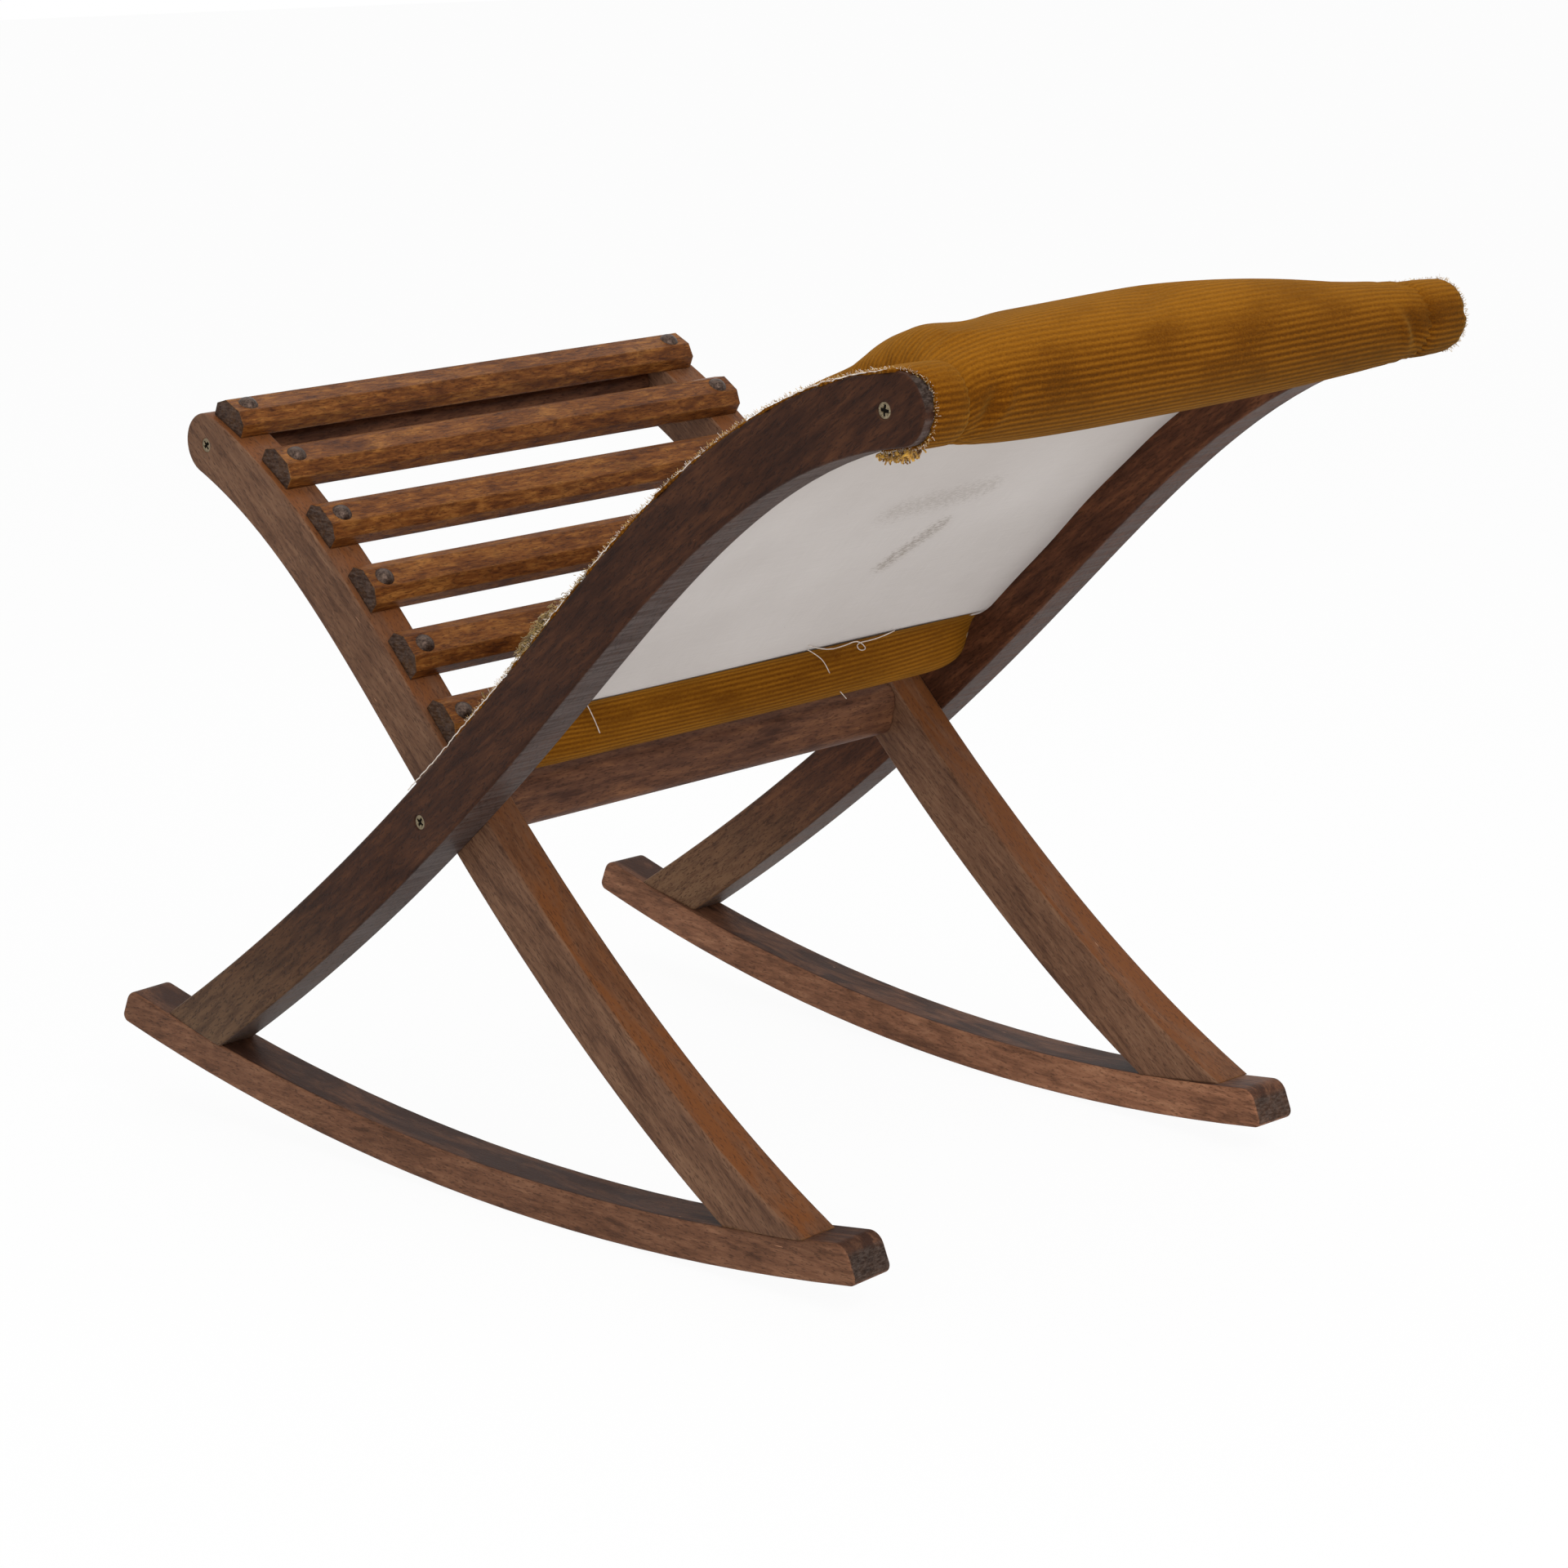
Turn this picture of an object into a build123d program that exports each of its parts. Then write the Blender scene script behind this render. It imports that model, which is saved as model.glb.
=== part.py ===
from build123d import *
import math
import os

# Rocking footstool: two bent rockers, two pairs of crossed S-shaped legs,
# six slats on one arm of the cross and an upholstered panel on the other.
# Millimetres. X runs along the rockers, Y across the stool, Z up.
# The origin is on the floor, below the middle, where the rockers touch it.
# Every side view is drawn with the rockers' ends level; the finished pieces
# are then rolled together to the angle at which the stool balances.

# ---- rockers
ROCKER_RADIUS = 1320.0        # curve of the running edge
ROCKER_DEPTH = 20.0
ROCKER_THICK = 25.0
ROCKER_TREAD = 540.0          # length over the running edge
ROCKER_TOP = 524.0            # length over the upper edge
ROCKER_END_ROUNDS = (4.0, 8.0)    # corners at its ends: running edge, upper edge
STOOL_LEAN = 3.05             # degrees, the padded end's weight rolls the stool forward

# ---- legs
LEG_DEPTH = 32.0
LEG_THICK = 23.0
PAD_LEG_OUT = 182.0           # outer face of the outer pair, from the middle
CROSSING = (-6.0, 194.0)
PAD_LEG_LINE = [(-232, 19), (-131, 91), CROSSING, (74, 269), (180, 369), (262, 421.5), (318, 438.5)]
SLAT_LEG_LINE = [(238, 24), (121, 90), CROSSING, (-87, 272), (-155, 325), (-206, 350.5)]
SIDE_STATIONS = 9             # points that carry a leg's long edges
TIP_LENGTH = 15.0             # round end beyond the leg line
EDGE_ROUND = 1.5              # long edges of legs and rockers

SEAT_GAP = 0.15               # under what rests on a curved edge

# ---- slats
SLAT_COUNT = 6
SLAT_WIDTH = 24.0
SLAT_THICK = 12.0
SLAT_END_SHORT = 4.0          # slat ends inside the outer faces of their legs
SLAT_BEVEL = 6.0              # across the slat
SLAT_BEVEL_FALL = 5.0
SLAT_PITCH = 41.0
FIRST_SLAT_BACK = 11.0       # from the end of the leg line

# ---- cross rails: long side and short side of each rounded bar
STRETCHER_SECTION = (30.0, 19.0)
STRETCHER_LEAN = 77.0         # degrees of the long side above X
SLAT_RAIL_SECTION = (26.0, 16.0)
SLAT_RAIL_BACK = 2.0
TOP_RAIL_SECTION = (36.0, 28.0)
TOP_RAIL_BACK = 8.0
LOW_RAIL_SECTION = (26.0, 12.0)
LOW_RAIL_BACK = 361.0
LOW_RAIL_OUT = 7.0            # above the middle of the leg
LOW_RAIL_LEAN = 60.0

# ---- upholstery
COVER_THICK = 2.2             # rise of the velvet above the edge of the legs
PAD_SKIN = 2.8                # velvet and lining around the filling, with their turned edges
EDGE_VELVET = 1.6             # velvet on top of a leg's upper edge
EDGE_VELVET_SHORT = 12.0      # it stops this far from the pad's start
EDGE_VELVET_END_BACK = 16.0
LINING_DROP = 8.0             # lining below the upper edge of the legs
TOP_CROWN = 17.0              # rise of the pad's middle above its edges
LOW_CROWN = 7.0
ROLL_PADDING = 4.0            # around the top rail
ROLL_SWELL = 4.0              # more of it halfway across
WRAP_PADDING = 2.5            # around the low rail
PAD_START_BEHIND = 9.0        # top of the pad begins this far from the low rail
PAD_TOP_POINTS = 6
PAD_TOP_END_BACK = 40.0
LINING_START_BACK = 46.0      # flat underside, from near the top rail
LINING_END_BEHIND = 31.0      # to this far from the low rail
LINING_POINTS = 5
LINING_TURN = 12.0            # velvet turned over each end of the lining
SECTION_SHARES = (1.0, 0.0, -1.0)

# ---- fasteners
SCREW_HEAD = 8.0
SCREW_SHANK = 4.0
SCREW_SINK = 2.4              # depth of the tapered head
CROSSING_SCREW_LENGTH = 66.0
RAIL_SCREW_LENGTH = 44.0
NAIL_HEAD = 10.5
NAIL_DOME = 3.2
NAIL_SHANK = 2.4
NAIL_LENGTH = 24.0
NAIL_FROM_END = 10.0
DOWEL = 8.0
DOWEL_LENGTH = 24.0
FOOT_X = (-205.0, 213.0)      # middle of the feet: pad legs, slat legs

PAD_LEG_IN = PAD_LEG_OUT - LEG_THICK
SLAT_LEG_OUT = PAD_LEG_IN
SLAT_LEG_IN = SLAT_LEG_OUT - LEG_THICK
SLAT_HALF = SLAT_LEG_OUT - SLAT_END_SHORT
PAD_START_BACK = LOW_RAIL_BACK - PAD_START_BEHIND
LINING_BACK = (LINING_START_BACK, LOW_RAIL_BACK - LINING_END_BEHIND)
EDGE_VELVET_BACK = (PAD_START_BACK - EDGE_VELVET_SHORT, EDGE_VELVET_END_BACK)
ROCKER_SLANT = LEG_THICK / (FOOT_X[1] - FOOT_X[0])    # the slat feet stand inside
ROCKER_TOE_IN = math.degrees(math.atan(ROCKER_SLANT))
ROCKER_CENTRE_Y = PAD_LEG_OUT - ROCKER_THICK / 2 + FOOT_X[0] * ROCKER_SLANT
SIDES = ((-1, "left"), (1, "right"))


def upright(y):
    """Drawing plane at y: its x is X and its y is Z."""
    return Plane(origin=(0, y, 0), x_dir=(1, 0, 0), z_dir=(0, -1, 0))


def slab(face, y_from, y_to):
    """A side-view face made solid between two distances from the middle."""
    return extrude(upright(y_to) * face, amount=y_to - y_from)


def eased(solid):
    """The same slab with the curved edges of both its sides rounded."""
    rims = []
    for face in solid.faces().filter_by(Axis.Y):
        rims += [edge for edge in face.edges() if edge.geom_type != GeomType.LINE]
    return fillet(rims, EDGE_ROUND)


def spread(first, last, count):
    return [first + (last - first) * i / (count - 1) for i in range(count)]


class Place:
    """A point on a leg line, back millimetres from its tip, with its two directions."""

    def __init__(self, line, back):
        distance = line.length - back
        self.point = line.position_at(distance, position_mode=PositionMode.LENGTH)
        self.along = line.tangent_at(distance, position_mode=PositionMode.LENGTH)
        self.out = Vector(-self.along.Y, self.along.X, 0)
        if self.out.Y < 0:
            self.out = -self.out

    def offset(self, along, out):
        return self.point + self.along * along + self.out * out


def leg_face(line):
    """Side view of a leg: two long edges beside the line and a round tip."""
    half = LEG_DEPTH / 2
    places = [Place(line, back) for back in spread(line.length, 0, SIDE_STATIONS)]
    upper = [place.offset(0, half) for place in places]
    lower = [place.offset(0, -half) for place in reversed(places)]
    return make_face([
        Spline(*upper),
        ThreePointArc(upper[-1], places[-1].offset(TIP_LENGTH, 0), lower[0]),
        Spline(*lower),
        Line(lower[-1], upper[0]),
    ])


def rocker_frame(side):
    """Where a rocker stands in plan: side is -1 for left and +1 for right."""
    return Pos(0, side * ROCKER_CENTRE_Y, 0) * Rot(0, 0, -side * ROCKER_TOE_IN)


def rocker_arc(span, depth):
    """An arc of the rocker's side view, span wide and depth above the tread."""
    radius = ROCKER_RADIUS - depth
    rise = radius - math.sqrt(radius ** 2 - (span / 2) ** 2)
    return ThreePointArc((-span / 2, depth + rise), (0, depth), (span / 2, depth + rise))


def rocker(side):
    tread = rocker_arc(ROCKER_TREAD, 0)
    top = rocker_arc(ROCKER_TOP, ROCKER_DEPTH)
    face = make_face([tread, top, Line(tread @ 0, top @ 0), Line(tread @ 1, top @ 1)])
    for height, round_off in zip((0, -1), ROCKER_END_ROUNDS):
        face = fillet(face.vertices().group_by(Axis.Y)[height], round_off)
    return rocker_frame(side) * eased(slab(face, -ROCKER_THICK / 2, ROCKER_THICK / 2))


def above_rocker(side):
    """Everything inside the upper curve of one rocker."""
    drum = Cylinder(ROCKER_RADIUS - ROCKER_DEPTH, 4 * ROCKER_THICK, rotation=(90, 0, 0))
    return rocker_frame(side) * Pos(0, 0, ROCKER_RADIUS) * drum


def leg(line, side, inner, outer):
    near, far = sorted((side * inner, side * outer))
    return eased(slab(leg_face(line), near, far)) & above_rocker(side)


def bar(section, centre, lean, half_length):
    """A rounded cross rail; lean turns its long side up from X."""
    face = Pos(centre.X, centre.Y) * Rot(0, 0, lean) * SlotOverall(*section)
    return slab(face, -half_length, half_length)


def lean_of(direction):
    return math.degrees(math.atan2(direction.Y, direction.X))


def slat_place(number):
    return Place(slat_line, FIRST_SLAT_BACK + number * SLAT_PITCH)


def slat(number):
    """A flat strip with both upper edges bevelled, resting on the legs."""
    half, flat = SLAT_WIDTH / 2, SLAT_WIDTH / 2 - SLAT_BEVEL
    side = SLAT_THICK - SLAT_BEVEL_FALL
    section = [(-half, 0), (half, 0), (half, side), (flat, SLAT_THICK), (-flat, SLAT_THICK), (-half, side)]
    place = slat_place(number)
    seat = LEG_DEPTH / 2 + SEAT_GAP
    corners = [place.offset(across, seat + up) for across, up in section]
    return slab(make_face(Polyline(*corners, close=True)), -SLAT_HALF, SLAT_HALF)


def crown_weight(share):
    """One in the middle of the pad, nothing at the legs."""
    return 1 - share ** 2


def pad_outline(share):
    """Corners of the pad's side view, share of the way from the middle to a leg."""
    weight = crown_weight(share)
    half = LEG_DEPTH / 2
    top = []
    for back in spread(PAD_START_BACK, PAD_TOP_END_BACK, PAD_TOP_POINTS):
        crown = TOP_CROWN + (LOW_CROWN - TOP_CROWN) * back / PAD_START_BACK
        top.append(Place(pad_line, back).offset(0, half + COVER_THICK + weight * crown))
    roll = Place(pad_line, TOP_RAIL_BACK)
    reach = TOP_RAIL_SECTION[0] / 2 + ROLL_PADDING + COVER_THICK + weight * ROLL_SWELL
    above = half + COVER_THICK + weight * TOP_CROWN
    below = TOP_RAIL_SECTION[1] / 2 + ROLL_PADDING + COVER_THICK + weight * ROLL_SWELL
    nose = []
    for angle in (75, 35, -5, -45, -85, -120, -155):
        turn = math.radians(angle)
        height = above if angle > 0 else below
        nose.append(roll.offset(reach * math.cos(turn), height * math.sin(turn)))
    under = half - LINING_DROP - COVER_THICK
    lining = [Place(pad_line, back).offset(0, under) for back in spread(*LINING_BACK, LINING_POINTS)]
    wrap = []
    for angle in (-45, -90, -135, -180, 140):
        turn = math.radians(angle)
        reach_long = LOW_RAIL_SECTION[0] / 2 + WRAP_PADDING + COVER_THICK
        reach_short = LOW_RAIL_SECTION[1] / 2 + WRAP_PADDING + COVER_THICK
        local = Vector(reach_long * math.cos(turn), reach_short * math.sin(turn), 0)
        wrap.append(low_rail_centre() + local.rotate(Axis.Z, LOW_RAIL_LEAN))
    return wrap + top + nose + lining


def low_rail_centre():
    return Place(pad_line, LOW_RAIL_BACK).offset(0, LOW_RAIL_OUT)


def shrink(points, inset):
    """The same closed outline, drawn in by inset (points run clockwise)."""
    inner = []
    count = len(points)
    for i, point in enumerate(points):
        along = (points[(i + 1) % count] - points[i - 1]).normalized()
        inner.append(point + Vector(along.Y, -along.X, 0) * inset)
    return inner


def outline_face(points):
    """Two curves that meet where the velvet is turned over the lining."""
    lining = points[-LINING_POINTS:]
    velvet = [lining[-1]] + points[:-LINING_POINTS] + [lining[0]]
    return make_face([Spline(*velvet), Spline(*lining)])


def pad_body():
    """The padded panel between the legs, with its crown across the width."""
    sections = [upright(share * PAD_LEG_IN) * outline_face(pad_outline(share)) for share in SECTION_SHARES]
    return loft(sections)


def pad_core(half_width):
    """The firm filling: as thick all the way across as it is at the legs."""
    return slab(outline_face(shrink(pad_outline(1.0), PAD_SKIN)), -half_width, half_width)


def band(line, backs, low, high, count):
    """Side view of a strip beside a leg line, between two heights over it."""
    places = [Place(line, back) for back in spread(*backs, count)]
    top = Spline(*[place.offset(0, high) for place in places])
    base = Spline(*[place.offset(0, low) for place in places])
    return make_face([top, base, Line(top @ 0, base @ 0), Line(top @ 1, base @ 1)])


def lining_window():
    """The space under the panel where lining shows in place of velvet."""
    first, last = LINING_BACK
    face = band(
        pad_line,
        (first + LINING_TURN, last - LINING_TURN),
        -LEG_DEPTH,
        LEG_DEPTH / 2 - LINING_DROP / 2,
        SIDE_STATIONS,
    )
    return slab(face, -PAD_LEG_OUT, PAD_LEG_OUT)


def edge_cover(side):
    """Velvet carried over the upper edge of one pad leg."""
    half = LEG_DEPTH / 2
    face = band(pad_line, EDGE_VELVET_BACK, half + SEAT_GAP, half + EDGE_VELVET, SIDE_STATIONS)
    near, far = sorted((side * PAD_LEG_IN, side * PAD_LEG_OUT))
    return slab(face, near, far)


def outward(side, centre, y):
    """A frame on the stool's side whose Z points away from the middle."""
    return Pos(centre.X, side * y, centre.Y) * Rot(-90 * side, 0, 0)


def screw(length):
    """A countersunk screw below the plane of its head."""
    below = (Align.CENTER, Align.CENTER, Align.MAX)
    head = Cone(SCREW_SHANK / 2, SCREW_HEAD / 2, SCREW_SINK, align=below)
    return head + Cylinder(SCREW_SHANK / 2, length, align=below)


def nail():
    """A domed nail: the head stands on the wood, the shank goes below."""
    base = (Align.CENTER, Align.CENTER, Align.MIN)
    radius = ((NAIL_HEAD / 2) ** 2 + NAIL_DOME ** 2) / (2 * NAIL_DOME)
    dome = Pos(0, 0, NAIL_DOME - radius) * Sphere(radius) & Box(NAIL_HEAD, NAIL_HEAD, NAIL_HEAD, align=base)
    return dome + Cylinder(NAIL_SHANK / 2, NAIL_LENGTH, align=(Align.CENTER, Align.CENTER, Align.MAX))


def slat_nails():
    """Two nails for each slat, square to its face."""
    placed = []
    across = SLAT_HALF - NAIL_FROM_END
    for number in range(SLAT_COUNT):
        place = slat_place(number)
        foot = place.offset(0, LEG_DEPTH / 2 + SLAT_THICK)
        for side, hand in SIDES:
            origin = (foot.X, side * across, foot.Y)
            placed.append(Plane(origin=origin, x_dir=(0, 1, 0), z_dir=(place.out.X, 0, place.out.Y)) * nail())
    return placed


def foot_dowels():
    """One peg in each foot, half in the leg and half in the rocker."""
    placed = []
    middles = ((PAD_LEG_IN + PAD_LEG_OUT) / 2, (SLAT_LEG_IN + SLAT_LEG_OUT) / 2)
    for x, y in zip(FOOT_X, middles):
        radius = ROCKER_RADIUS - ROCKER_DEPTH
        z = ROCKER_RADIUS - math.sqrt(radius ** 2 - x ** 2)
        placed += [Pos(x, side * y, z) * Cylinder(DOWEL / 2, DOWEL_LENGTH) for side, hand in SIDES]
    return placed


def rail_dowels():
    centre = low_rail_centre()
    return [outward(side, centre, PAD_LEG_IN) * Cylinder(DOWEL / 2, DOWEL_LENGTH) for side, hand in SIDES]


def settled(shape):
    """A finished piece, rolled with the whole stool about the rockers' centre."""
    return Pos(0, 0, ROCKER_RADIUS) * Rot(0, STOOL_LEAN, 0) * Pos(0, 0, -ROCKER_RADIUS) * shape


def mirrored_screws(centre, y, length):
    return [outward(side, centre, y) * screw(length) for side, hand in SIDES]


pad_line = Spline(*PAD_LEG_LINE)
slat_line = Spline(*SLAT_LEG_LINE)
crossing = Vector(*CROSSING)
slat_rail_place = Place(slat_line, SLAT_RAIL_BACK)
top_rail_place = Place(pad_line, TOP_RAIL_BACK)

parts = {}
for side, hand in SIDES:
    parts[f"rocker_{hand}"] = rocker(side)
    parts[f"pad_leg_{hand}"] = leg(pad_line, side, PAD_LEG_IN, PAD_LEG_OUT)
    parts[f"slat_leg_{hand}"] = leg(slat_line, side, SLAT_LEG_IN, SLAT_LEG_OUT)
for number in range(SLAT_COUNT):
    parts[f"slat_{number + 1}"] = slat(number)
parts["stretcher"] = bar(STRETCHER_SECTION, crossing, STRETCHER_LEAN, SLAT_LEG_IN)
parts["slat_rail"] = bar(
    SLAT_RAIL_SECTION, slat_rail_place.point, lean_of(slat_rail_place.along), SLAT_LEG_IN
)
parts["pad_top_rail"] = bar(
    TOP_RAIL_SECTION, top_rail_place.point, lean_of(top_rail_place.along), PAD_LEG_IN
)
parts["pad_low_rail"] = bar(LOW_RAIL_SECTION, low_rail_centre(), LOW_RAIL_LEAN, PAD_LEG_IN)

# Upholstery: one crowned cover, opened below for the lining, around one core.
skin = pad_body() - pad_core(PAD_LEG_OUT)
window = lining_window()
parts["lining"] = skin & window
cover = skin - window
for side, hand in SIDES:
    cover = cover + edge_cover(side)
parts["velvet_cover"] = cover
parts["pad_filling"] = pad_core(PAD_LEG_IN) - parts["pad_top_rail"] - parts["pad_low_rail"]

# Fasteners: each group is cut out of the wood that it goes through.
fasteners = {
    "slat_nails": slat_nails(),
    "crossing_screws": mirrored_screws(crossing, PAD_LEG_OUT, CROSSING_SCREW_LENGTH),
    "slat_rail_screws": mirrored_screws(slat_rail_place.point, SLAT_LEG_OUT, RAIL_SCREW_LENGTH),
    "pad_rail_screws": mirrored_screws(top_rail_place.point, PAD_LEG_OUT, RAIL_SCREW_LENGTH),
    "dowels": foot_dowels() + rail_dowels(),
}
drilled = {
    "slat_nails": ["slat_leg"] + [f"slat_{number + 1}" for number in range(SLAT_COUNT)],
    "crossing_screws": ["pad_leg", "slat_leg", "stretcher"],
    "slat_rail_screws": ["slat_leg", "slat_rail"],
    "pad_rail_screws": ["pad_leg", "pad_top_rail"],
    "dowels": ["rocker", "pad_leg", "slat_leg", "pad_low_rail"],
}
for group, solids in fasteners.items():
    for name in list(parts):
        if any(name.startswith(start) for start in drilled[group]):
            parts[name] = parts[name] - solids
parts = {name: settled(solid) for name, solid in parts.items()}
for group, solids in fasteners.items():
    parts[group] = Compound(children=[settled(solid) for solid in solids])

os.makedirs("parts", exist_ok=True)
for name, solid in parts.items():
    solid.label = name
    export_step(solid, f"parts/{name}.step")
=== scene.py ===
import math

import bpy
import numpy as np
from mathutils import Matrix, Vector


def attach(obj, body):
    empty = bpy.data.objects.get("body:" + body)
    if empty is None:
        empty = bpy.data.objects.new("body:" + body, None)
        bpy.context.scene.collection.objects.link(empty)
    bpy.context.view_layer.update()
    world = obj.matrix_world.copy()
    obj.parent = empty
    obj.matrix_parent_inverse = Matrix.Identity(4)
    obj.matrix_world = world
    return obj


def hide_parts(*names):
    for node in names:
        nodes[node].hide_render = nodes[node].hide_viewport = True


# The rocking footstool's looks: stained wood, bronze nails, worn ribbed velvet
# over a padded panel, and a cotton lining below it.
# Shapes are drawn as in the part's source: millimetres, a side view with the
# rockers' ends level. placed() rolls them to rest and turns them into metres.
# Left is the near side, where y is negative. Places on a leg are measured back
# from its tip, and out from its middle line.

METRES = 0.001  # in a millimetre
MILLIMETRES = 1000  # in a metre
SIDES = {"left": -1, "right": 1}

# ---- the stool's own sizes
ROCKER_RADIUS = 1320.0
STOOL_LEAN = 3.05
LEG_DEPTH = 32.0
LEG_THICK = 23.0
PAD_LEG_OUT = 182.0
CROSSING = (-6.0, 194.0)
PAD_LEG_LINE = [(-232, 19), (-131, 91), CROSSING, (74, 269), (180, 369), (262, 421.5), (318, 438.5)]
SLAT_LEG_LINE = [(238, 24), (121, 90), CROSSING, (-87, 272), (-155, 325), (-206, 350.5)]
TIP_LENGTH = 15.0
SLAT_COUNT = 6
SLAT_RAIL_BACK = 2.0
TOP_RAIL_SECTION = (36.0, 28.0)
TOP_RAIL_BACK = 8.0
LOW_RAIL_SECTION = (26.0, 12.0)
LOW_RAIL_BACK = 361.0
LOW_RAIL_OUT = 7.0
LOW_RAIL_LEAN = 60.0

PAD_LEG_IN = PAD_LEG_OUT - LEG_THICK
SLAT_LEG_OUT = PAD_LEG_IN
HALF_DEPTH = LEG_DEPTH / 2

# ---- the padded panel
COVER = 2.2
LINING_DROP = 8.0
TOP_CROWN = 18.5
LOW_CROWN = 7.0
CROWN_NEAR_POWER = 12.0  # the stuffing has shifted towards the near leg
CROWN_FAR_POWER = 1.6
ROLL_PADDING = 4.0
ROLL_SWELL = 4.0
ROLL_ANGLES = (75, 35, -5, -45, -85, -120, -155)
TIP_POWER = 4  # how closely beside a leg the roll takes the shape of its tip
WRAP_PADDING = 2.5
WRAP_ANGLES = (-45, -90, -135, -180, 140)
BORDER_SINK = 0.75  # share of the cover's thickness that sinks in beside a leg
BORDER_POWER = 20  # how closely beside the leg it does
PAD_TOP_BACK = (352.0, 14.0)
PAD_TOP_POINTS = 9
LINING_BACK = (46.0, 330.0)
LINING_POINTS = 5

VELVET_ROWS = 132  # around the pad, over the velvet
LINING_ROWS = 48  # and back along the lining
CLOTH_COLUMNS = 60  # across the pad
EVEN_SHARE = 0.55  # its columns are partly spaced evenly
CROWDED_SHARE = 0.45  # and partly crowd towards the legs

AIR_PRESSURE = 4.0
AIR_FRAMES = 20
VELVET_STIFFNESS = 1.5
AIR_START_FLAT = 2.5  # the crown starts this much flatter, and air presses it out
AIR_REACH = 4.5  # no point moves further than this

WADDING_INSET = 4.0
WADDING_FLAT = 8.0
WADDING_SIDE_GAP = 2

# ---- gathers round the legs' tips, and the crease between each tip and the roll
GATHER_HEIGHT = 0.9
GATHERS_IN_TURN = 27
GATHER_REACH = 14
TIP_REACH = 55
CREASE_DEPTH = 2.4
CREASE_INWARD = 17.0
CREASE_TILT = 9
CREASE_WIDTH = 4
CREASE_ANGLE = -0.15
FOLD_INWARD = 8  # a low fold stands beyond the crease
FOLD_WIDTH = 3

# ---- strips of velvet over the pad legs' upper edges and round their tips
# its section: places across the leg, 0 inside and 1 outside, and heights above the wood
STRIP_SECTION = ((-0.40, -0.6), (-0.05, 1.5), (0.26, 1.6), (0.60, 1.4), (0.87, 1.0), (1.0, 0.4))
STRIP_BACK = (344.0, 2.0)
STRIP_STATIONS = 220
STRIP_THICK = 1.2
STRIP_TIP_SWELL = 0.5
TIP_ANGLES = range(86, -91, -4)  # degrees, from the tip's upper side round to its lower side
UNDER_TIP_BACK = {-1: 20.0, 1: 34.0}
UNDER_TIP_STATIONS = 12
TIP_VELVET_SHORT = 6.0  # round the near tip the velvet stops this far inside the outer face

# ---- cotton lining
LINING_GRID = 60
LINING_TURN_IN = 6
LINING_LIFT = 0.35
LINING_HOLLOW = 2.0
LINING_SIDE_GAP = 0.3
LINING_TUCK = 0.25  # rise per millimetre where it is turned in
# brushed stains on it: from, to (back and across), half width, strength
LINING_STAINS = (
    ((256, 30), (228, 47), 7, 0.8),
    ((205, 0), (198, 58), 10, 0.4),
)

# ---- threads and tufts
RIB_PITCH = 3.0
FIBRES_PER_STATION = 5
PALE_FIBRES = 0.35
# sewing threads at the low rail, as points across and up it
LOOSE_THREADS = (
    ((22.5, 33.1), (34.6, 26.0), (44.2, 17.2), (58.5, 0.0), (72.7, -11.8)),
    ((-123.7, 30.4), (-113.6, 18.4), (-105.8, 7.5)),
    ((22.3, 35.8), (37.4, 28.7), (51.6, 29.4), (59.4, 31.6), (70.8, 23.0), (65.1, 22.6), (58.6, 29.6),
     (75.7, 28.6), (86.0, 32.0)),
)
THREAD_RADIUS = 0.28
# stretches of the near leg where the velvet's cut edge is bare
CUT_EDGE_BACKS = ((408, 296), (262, 240), (216, 190), (160, 120), (60, 2))
TIP_FIBRES = 190
PULLED_YARN_BACK = (352, 326)
PULLED_YARNS = 13
# matted pile on the near leg: middle and spread of its places back from the tip
MATTED_YARN_BACK = (268, 8)
MATTED_YARNS = 90
MATTED_FIBRE_BACK = (270, 10)
MATTED_FIBRES = 900
WORN_SPOTS = (222, 232, 300)
WORN_FIBRES = 240

# ---- screws
SCREW_HEAD = 8.0
SCREW_SHANK = 4.0
SCREW_SINK = 2.4
SCREW_POINT = 6
HEAD_RECESS = 0.5
HEAD_RADIUS = SCREW_HEAD / 2 - HEAD_RECESS * 0.8
HEAD_RIM = 0.15
HEAD_DOME = 0.35
HEAD_RINGS = 26
SCREW_SEGMENTS = 72
CROSS_REACH = 2.6
CROSS_WIDTH = 1.4
CROSS_DEPTH = 1.7
CROSSING_SCREW_LENGTH = 66.0
RAIL_SCREW_LENGTH = 44.0

# ---- camera, in the level side view
CAMERA_AT = (1397.794, -1278.138, 715.091)
CAMERA_RIGHT = (0.69116, 0.72270, -0.00167)
CAMERA_UP = (-0.19584, 0.18951, 0.96215)
CAMERA_LENS = 87.314
CAMERA_SENSOR = 36.0
CAMERA_FAR = 20.0

# ---- studio, in metres and watts: where each lamp stands, where it points, its size and power
MIDDLE = (0, 0, 0.25)
LAMPS = {
    "key": ((1.5, -0.3, 1.5), MIDDLE, 1.2, 20.0),
    "top": ((-0.5, 0.3, 2.0), MIDDLE, 1.6, 10.0),
    "front": ((0.4, -2.0, 0.9), MIDDLE, 1.2, 6.0),
    "low": ((1.4, -1.0, 0.12), (0.05, 0.0, 0.2), 0.8, 4.0),
}
SKY_STRENGTH = 0.52
FLOOR_HALF = 60.0
FLOOR_BELOW = 0.0005
FLOOR_WHITE = 0.95  # the rest keeps the stool's shadow

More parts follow.
